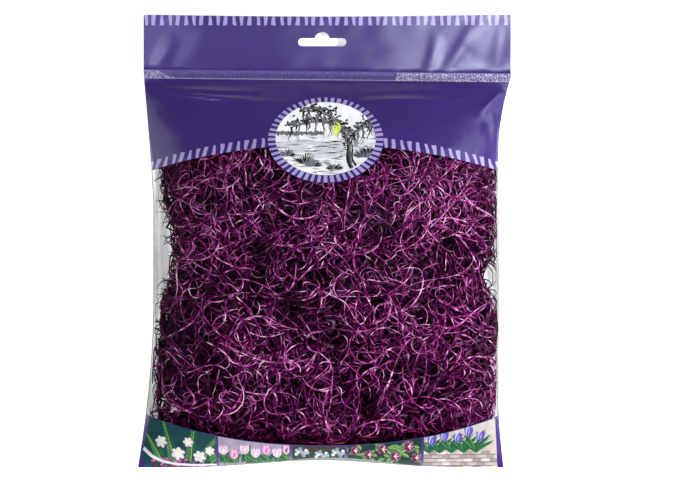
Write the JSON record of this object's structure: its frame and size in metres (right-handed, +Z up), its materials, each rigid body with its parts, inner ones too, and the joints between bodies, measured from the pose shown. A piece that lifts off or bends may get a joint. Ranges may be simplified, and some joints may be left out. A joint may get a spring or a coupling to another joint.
{
  "type": "spanish moss bunch in a clear hang bag",
  "caption": "Clear film hang bag with a printed header and a hang slot, packed full of tangled magenta-dyed Spanish moss and lying on its back.",
  "frame": {"origin": "middle of the underside, on the surface that the bag lies on", "axes": "+X across the bag to the right as its front is read, +Y along the bag from the bottom fold to the hanging edge, +Z up out of the front film"},
  "size_m": [0.2456, 0.2987, 0.0407],
  "materials": {
    "bag_film": "gloss",
    "dyed_moss": "satin"
  },
  "bodies": {
    "root": {"bag_front_panel": "bag_film", "bag_back_panel": "bag_film", "moss_wad_upper_left": "dyed_moss", "moss_wad_upper_middle": "dyed_moss", "moss_wad_upper_right": "dyed_moss", "moss_wad_lower_left": "dyed_moss", "moss_wad_lower_middle": "dyed_moss", "moss_wad_lower_right": "dyed_moss"}
  },
  "joints": []
}
